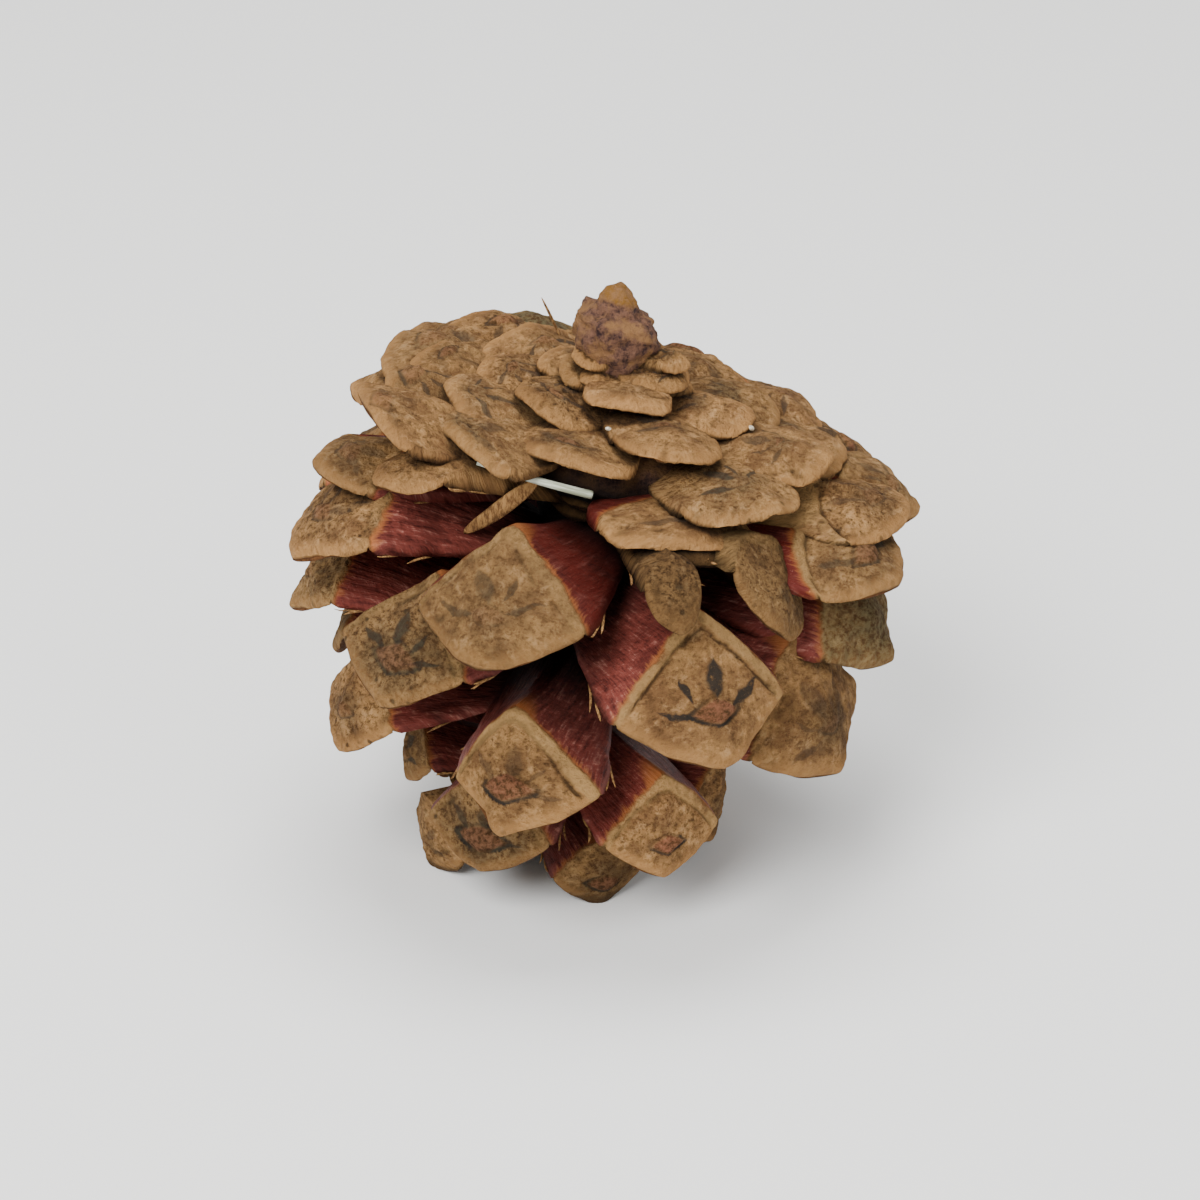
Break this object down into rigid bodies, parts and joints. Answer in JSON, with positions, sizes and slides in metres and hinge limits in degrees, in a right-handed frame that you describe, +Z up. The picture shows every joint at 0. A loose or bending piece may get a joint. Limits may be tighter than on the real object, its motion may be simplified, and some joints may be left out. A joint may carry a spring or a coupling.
{
  "type": "pine cone",
  "caption": "Open dry pine cone standing on its tip, with overlapping rhombic woody scales in a spiral, a broken stalk stub on top and a needle bit caught under the rim.",
  "frame": {"origin": "on the ground, under the middle of the box round the cone", "axes": "+Z up, from the tip to the broken stalk; the cone leans 10 degrees towards +X, and -Y is the side that the picture looks at"},
  "size_m": [0.0614, 0.0621, 0.0596],
  "materials": {
    "dry_cone_wood": "dry, matt, grey-brown woody scales with reddish brown blades",
    "dry_needle": "dry, pale, slightly silky"
  },
  "bodies": {
    "root": {"cone": "dry_cone_wood", "needle_bit": "dry_needle"}
  },
  "joints": []
}
